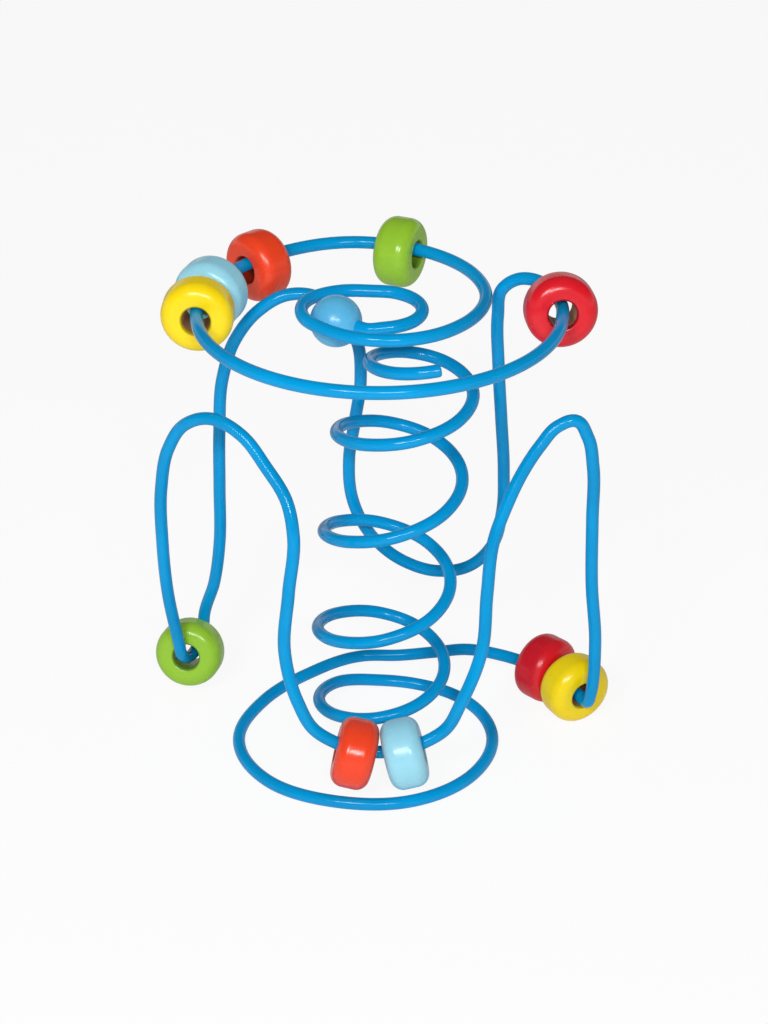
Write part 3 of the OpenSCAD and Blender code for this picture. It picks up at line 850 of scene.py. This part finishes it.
def bead_outline(bead, paint):
    """The closed outline of a bead's half section."""
    rim_out, rim_along = bead.radius - paint.rim, bead.width / 2 - paint.rim
    mouth_out, mouth_along = bead.hole_radius + paint.mouth, bead.width / 2 - paint.mouth
    return [
        *arc(rim_out, -rim_along, paint.rim, 270),
        *arc(rim_out, rim_along, paint.rim, 0),
        *arc(mouth_out, mouth_along, paint.mouth, 90),
        *arc(mouth_out, -mouth_along, paint.mouth, 180),
    ]


def ball_outline(radius, bore):
    """The outline of a ball's half section, with a blind hole to its middle."""
    turns = stops(-math.pi / 2, math.pi / 2 - math.asin(bore / radius), BALL_STEPS)
    return [*[(radius * math.cos(turn), radius * math.sin(turn)) for turn in turns], (bore, 0), (0, 0)]


def outline_mesh(name, outline, middle, closed):
    """An outline as a chain of edges, measured from the middle radius."""
    mesh = bpy.data.meshes.new(name + "_outline")
    edges = [(i, i + 1) for i in range(len(outline) - 1)]
    if closed:
        edges.append((len(outline) - 1, 0))
    mesh.from_pydata([(out - middle, along, 0) for out, along in outline], edges, [])
    return mesh


def turned_object(name, outline, closed, place, axis, segments, material):
    """A turned piece from its outline."""
    middle = max(out for out, along in outline) / 2
    tree = shared_group("turned_piece", lathe_tree)
    return grown(name, outline_mesh(name, outline, middle, closed), tree, {
        "Segments": segments, "Middle Radius": middle, "Place": place, "Axis": axis, "Paint": material})


# Operators

END_BEND = math.radians(60)
END_SEGMENTS = 4


class MAZE_OT_bend_wire(bpy.types.Operator):
    """Bend the coated wire along its route and round its cut end"""

    bl_idname = "bead_maze.bend_wire"
    bl_label = "Bend Wire"

    def execute(self, context):
        wire, route = context.scene.maze_wire, context.scene.maze_route
        curve = wire_curve(wire_stations(route, wire))
        piece = grown("coated_wire", curve, shared_group("coated_wire", wire_tree), {
            "Diameter": wire.diameter, "Sides": wire.sides, "Ring Step": wire.ring_step,
            "Coat": coat_material(wire)})
        rounding = piece.modifiers.new("cut_end", "BEVEL")
        rounding.limit_method = "ANGLE"
        rounding.angle_limit = END_BEND
        rounding.width = wire.end_rounding
        rounding.segments = END_SEGMENTS
        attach(piece, WIRE_BODY)
        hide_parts(*WIRE_NODES)
        return {"FINISHED"}


class MAZE_OT_turn_beads(bpy.types.Operator):
    """Turn the ten beads and paint them, with bare wood in the holes of some"""

    bl_idname = "bead_maze.turn_beads"
    bl_label = "Turn Beads"

    def execute(self, context):
        paint = context.scene.maze_paint
        paints = {}
        for body in BEAD_BODIES:
            node = body + "_bead"
            slot = SLOTS[node]
            bead = Turned(node)
            if slot not in paints:
                paints[slot] = paint_material(
                    slot, getattr(paint, slot), paint.bare_wood, bead.hole_radius + paint.mouth / 2,
                    bead.width * BARE_SHARES[slot] / 2)
            piece = turned_object(
                node + "_painted", bead_outline(bead, paint), True, bead.centre, bead.axis,
                paint.segments, paints[slot])
            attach(piece, body)
            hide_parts(node)
        return {"FINISHED"}


class MAZE_OT_fit_ball(bpy.types.Operator):
    """Fit the painted stop ball on the wire's inner end"""

    bl_idname = "bead_maze.fit_ball"
    bl_label = "Fit Ball"

    def execute(self, context):
        wire, paint = context.scene.maze_wire, context.scene.maze_paint
        slot = SLOTS[BALL_NODE]
        outline = ball_outline(BALL_DIAMETER / 2, wire.diameter / 2)
        material = paint_material(slot, paint.ball_paint, paint.bare_wood, 0, 0)
        piece = turned_object(
            BALL_NODE + "_painted", outline, False, BALL_CENTRE, -ball_along(), paint.segments, material)
        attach(piece, WIRE_BODY)
        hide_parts(BALL_NODE)
        return {"FINISHED"}


# Stage

CAMERA_TARGET = Vector((0.0005, 0.0086, 0.082))
CAMERA_AIM = Vector((0.00155, 0.0086, 0.08235))
FLOOR_HALF = 3.0
FLOOR_DROP = 0.00005
CEILING_LIMITS = (0.05, 0.35)
LAMPS = {
    "key": (Vector((-0.26, -0.8, 0.72)), (0.26, 0.2)),
    "window": (Vector((0.1, -0.82, 0.6)), (0.2, 0.07)),
}


def floor_material(stage):
    """A pale floor that the camera sees as nearly white, with the maze's shadow on it."""
    material, tree, shader = new_material("floor")
    tree.nodes.remove(shader)
    made = tree.nodes["Material Output"]
    matt = set_inputs(add_node(tree, "ShaderNodeBsdfDiffuse"), Color=rgba(stage.floor))
    white = set_inputs(add_node(tree, "ShaderNodeEmission"), Color=WHITE, Strength=1)
    path = add_node(tree, "ShaderNodeLightPath")
    both = add_node(tree, "ShaderNodeMixShader")
    seen = math_node(tree, "MULTIPLY", path.outputs["Is Camera Ray"], stage.floor_white)
    chain(
        tree,
        seen, both.inputs[0],
        matt.outputs["BSDF"], both.inputs[1],
        white.outputs["Emission"], both.inputs[2],
        both.outputs["Shader"], made.inputs["Surface"])
    return material


def stage_world(stage):
    """White where the camera, a gloss or a glass looks at the horizon, and an even light for the rest."""
    world = bpy.data.worlds.new("studio")
    world.use_nodes = True
    tree = world.node_tree
    light = tree.nodes["Background"]
    where = add_node(tree, "ShaderNodeTexCoord")
    parts = add_node(tree, "ShaderNodeSeparateXYZ")
    path = add_node(tree, "ShaderNodeLightPath")
    ceiling = map_range(tree, CEILING_LIMITS, (1, stage.ceiling))
    looks = math_node(tree, "MAXIMUM", path.outputs["Is Camera Ray"], math_node(
        tree, "MAXIMUM", path.outputs["Is Glossy Ray"], path.outputs["Is Transmission Ray"]))
    strength = add_node(tree, "ShaderNodeMix", data_type="FLOAT")
    strength.inputs[FLOAT_A].default_value = stage.ambient
    set_inputs(light, Color=WHITE)
    chain(
        tree,
        where.outputs["Generated"], parts.inputs["Vector"],
        parts.outputs["Z"], ceiling.inputs["Value"],
        looks, strength.inputs["Factor"],
        ceiling.outputs["Result"], strength.inputs[FLOAT_B],
        strength.outputs[FLOAT_MIXED], light.inputs["Strength"])
    return world


def aimed(thing, place, target):
    """Puts a lamp or a camera at a place, looking at a target."""
    thing.location = place
    thing.rotation_euler = (target - place).to_track_quat("-Z", "Y").to_euler()
    bpy.context.scene.collection.objects.link(thing)


class MAZE_OT_set_stage(bpy.types.Operator):
    """Set the floor, the lamps, the world and the camera"""

    bl_idname = "bead_maze.set_stage"
    bl_label = "Set Stage"

    def execute(self, context):
        scene, stage = context.scene, context.scene.maze_stage
        mesh = bpy.data.meshes.new("floor")
        corners = [(-1, -1), (1, -1), (1, 1), (-1, 1)]
        mesh.from_pydata(
            [(FLOOR_HALF * x, FLOOR_HALF * y, -FLOOR_DROP) for x, y in corners], [], [range(len(corners))])
        mesh.materials.append(floor_material(stage))
        floor = bpy.data.objects.new("floor", mesh)
        scene.collection.objects.link(floor)
        for name, (place, size) in LAMPS.items():
            lamp = bpy.data.lights.new(name, "AREA")
            lamp.energy = getattr(stage, name)
            lamp.shape = "RECTANGLE"
            lamp.size, lamp.size_y = size
            aimed(bpy.data.objects.new(name, lamp), place, CAMERA_TARGET)
        scene.world = stage_world(stage)
        lens = bpy.data.cameras.new("camera")
        lens.lens = stage.lens
        back = Vector((0, -math.cos(stage.elevation), math.sin(stage.elevation)))
        camera = bpy.data.objects.new("camera", lens)
        aimed(camera, CAMERA_TARGET + back * stage.distance, CAMERA_AIM)
        scene.camera = camera
        scene.view_settings.view_transform = "Standard"
        return {"FINISHED"}


# Panel and registration

class MAZE_PT_panel(bpy.types.Panel):
    """The maze's sizes, colours and operators"""

    bl_idname = "MAZE_PT_panel"
    bl_label = "Bead Maze"
    bl_space_type = "VIEW_3D"
    bl_region_type = "UI"
    bl_category = "Bead Maze"

    def draw(self, context):
        for group, *operators in PANEL_ROWS:
            box = self.layout.box()
            settings = getattr(context.scene, group)
            for name in settings.bl_rna.properties.keys():
                if name not in ("name", "rna_type"):
                    box.prop(settings, name)
            for operator in operators:
                box.operator(operator.bl_idname)


SETTINGS = {"maze_wire": MazeWire, "maze_route": MazeRoute, "maze_paint": MazePaint, "maze_stage": MazeStage}
OPERATORS = (MAZE_OT_bend_wire, MAZE_OT_turn_beads, MAZE_OT_fit_ball, MAZE_OT_set_stage)
PANEL_ROWS = (
    ("maze_wire",),
    ("maze_route", MAZE_OT_bend_wire),
    ("maze_paint", MAZE_OT_turn_beads, MAZE_OT_fit_ball),
    ("maze_stage", MAZE_OT_set_stage),
)


def register():
    for cls in (*SETTINGS.values(), *OPERATORS, MAZE_PT_panel):
        bpy.utils.register_class(cls)
    for name, cls in SETTINGS.items():
        setattr(bpy.types.Scene, name, PointerProperty(type=cls))


def unregister():
    for name in SETTINGS:
        delattr(bpy.types.Scene, name)
    for cls in reversed((*SETTINGS.values(), *OPERATORS, MAZE_PT_panel)):
        bpy.utils.unregister_class(cls)


def main():
    register()
    bpy.ops.bead_maze.set_stage()
    bpy.ops.bead_maze.bend_wire()
    bpy.ops.bead_maze.turn_beads()
    bpy.ops.bead_maze.fit_ball()


if __name__ == "__main__":
    main()
